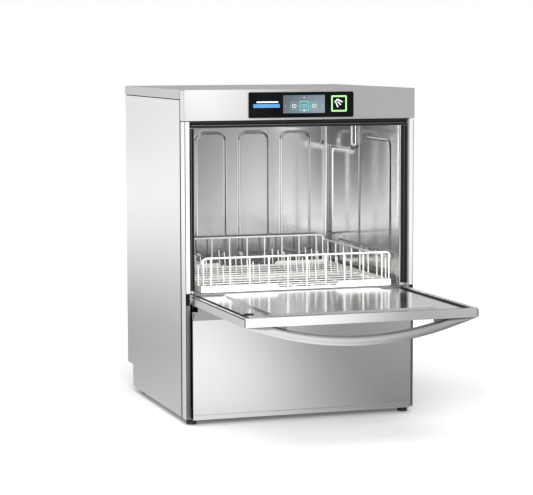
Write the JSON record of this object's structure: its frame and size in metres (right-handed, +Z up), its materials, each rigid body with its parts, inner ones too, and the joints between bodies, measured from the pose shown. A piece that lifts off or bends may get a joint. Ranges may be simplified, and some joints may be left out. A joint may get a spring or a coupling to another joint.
{
  "type": "commercial dishwasher",
  "caption": "Undercounter steel dishwasher with a drop-down door and bow handle, a wire rack, spinning wash and rinse arms, a tank, pumps and a touch panel.",
  "frame": {"origin": "on the floor, in the middle of the box that holds the machine with its door open", "axes": "+X to the right as seen from the front, +Y from the open door to the back, +Z up"},
  "size_m": [0.6, 1.012, 0.82],
  "materials": {
    "brushed_steel": "vertical brushed grain, satin",
    "polished_steel": "bright rolled and pressed stainless sheet",
    "satin_metal": "fine satin",
    "black_glass": "high gloss black",
    "screen": "backlit blue-grey screen, smooth",
    "button_light": "gloss black with a lit green frame",
    "rubber": "matt black seal rubber",
    "black_plastic": "fine matt",
    "grey_plastic": "moulded matt",
    "coated_wire": "white dip coating, soft gloss",
    "circuit_board": "solder mask",
    "cast_metal": "grey enamel",
    "heating_element": "heat-tinted nickel alloy",
    "brass": "turned brass"
  },
  "bodies": {
    "cabinet": {"side_panel_left": "brushed_steel", "side_panel_right": "brushed_steel", "rear_panel": "brushed_steel", "lid": "brushed_steel", "fascia": "brushed_steel", "door_post_left": "brushed_steel", "door_post_right": "brushed_steel", "lower_front_panel": "brushed_steel", "base_tray": "brushed_steel", "control_glass": "black_glass", "display": "screen", "control_board": "circuit_board", "chamber_wall_left": "polished_steel", "chamber_wall_right": "polished_steel", "chamber_back": "polished_steel", "chamber_top": "polished_steel", "threshold": "polished_steel", "wash_tank": "polished_steel", "rack_guide_left": "polished_steel", "rack_guide_right": "polished_steel", "door_gasket_left": "rubber", "door_gasket_right": "rubber", "door_gasket_top": "rubber", "tank_strainer": "satin_metal", "lower_spindle": "polished_steel", "upper_spindle": "polished_steel", "tank_heater": "heating_element", "wash_pump_motor": "cast_metal", "wash_pump_casing": "grey_plastic", "drain_pump": "grey_plastic", "boiler": "satin_metal", "riser_duct": "grey_plastic", "power_box": "grey_plastic", "water_inlet": "brass", "drain_outlet": "grey_plastic", "cable_gland": "black_plastic"},
    "door": {"door_outer_skin": "brushed_steel", "door_inner_panel": "polished_steel", "door_handle": "satin_metal", "handle_end_left": "satin_metal", "handle_end_right": "satin_metal", "hinge_arm_left": "cast_metal", "hinge_arm_right": "cast_metal"},
    "rack": {"rack_base": "coated_wire", "rack_front": "coated_wire", "rack_back": "coated_wire", "rack_side_left": "coated_wire", "rack_side_right": "coated_wire", "rack_pins": "coated_wire"},
    "start_button": {"start_button": "button_light"},
    "filter_basket": {"filter_basket": "satin_metal"},
    "lower_wash_arm": {"lower_wash_arm": "polished_steel"},
    "lower_rinse_arm": {"lower_rinse_arm": "polished_steel"},
    "upper_wash_arm": {"upper_wash_arm": "polished_steel"},
    "upper_rinse_arm": {"upper_rinse_arm": "polished_steel"},
    "pump_rotor": {"wash_pump_impeller": "grey_plastic"},
    "foot_front_left": {"foot_front_left": "black_plastic"},
    "foot_front_right": {"foot_front_right": "black_plastic"},
    "foot_rear_left": {"foot_rear_left": "black_plastic"},
    "foot_rear_right": {"foot_rear_right": "black_plastic"}
  },
  "joints": [
    {"name": "door_hinge", "type": "hinge", "parent": "cabinet", "child": "door", "pos_m": [0, -0.0765, 0.3135], "axis": [-1, 0, 0], "range_deg": [0, 90]},
    {"name": "rack_slide", "type": "slide", "parent": "cabinet", "child": "rack", "axis": [0, 1, 0], "range_m": [-0.42, 0]},
    {"name": "start_button_press", "type": "slide", "parent": "cabinet", "child": "start_button", "axis": [0, 1, 0], "range_m": [0, 0.0015], "stiffness_N_per_m": 900},
    {"name": "filter_lift", "type": "slide", "parent": "cabinet", "child": "filter_basket", "axis": [0, 0, 1], "range_m": [0, 0.03]},
    {"name": "lower_wash_arm_spin", "type": "hinge", "parent": "cabinet", "child": "lower_wash_arm", "pos_m": [0, 0.214, 0.2965], "axis": [0, 0, 1], "continuous": true},
    {"name": "lower_rinse_arm_spin", "type": "hinge", "parent": "cabinet", "child": "lower_rinse_arm", "pos_m": [0, 0.214, 0.3115], "axis": [0, 0, 1], "continuous": true},
    {"name": "upper_wash_arm_spin", "type": "hinge", "parent": "cabinet", "child": "upper_wash_arm", "pos_m": [0, 0.214, 0.761], "axis": [0, 0, 1], "continuous": true},
    {"name": "upper_rinse_arm_spin", "type": "hinge", "parent": "cabinet", "child": "upper_rinse_arm", "pos_m": [0, 0.214, 0.7435], "axis": [0, 0, 1], "continuous": true},
    {"name": "pump_rotor_spin", "type": "hinge", "parent": "cabinet", "child": "pump_rotor", "pos_m": [-0.08, 0.226, 0.122], "axis": [1, 0, 0], "continuous": true},
    {"name": "foot_front_left_turn", "type": "hinge", "parent": "cabinet", "child": "foot_front_left", "pos_m": [-0.279, -0.05, 0.01], "axis": [0, 0, 1], "continuous": true},
    {"name": "foot_front_right_turn", "type": "hinge", "parent": "cabinet", "child": "foot_front_right", "pos_m": [0.279, -0.05, 0.01], "axis": [0, 0, 1], "continuous": true},
    {"name": "foot_rear_left_turn", "type": "hinge", "parent": "cabinet", "child": "foot_rear_left", "pos_m": [-0.27, 0.406, 0.01], "axis": [0, 0, 1], "continuous": true},
    {"name": "foot_rear_right_turn", "type": "hinge", "parent": "cabinet", "child": "foot_rear_right", "pos_m": [0.27, 0.406, 0.01], "axis": [0, 0, 1], "continuous": true}
  ]
}
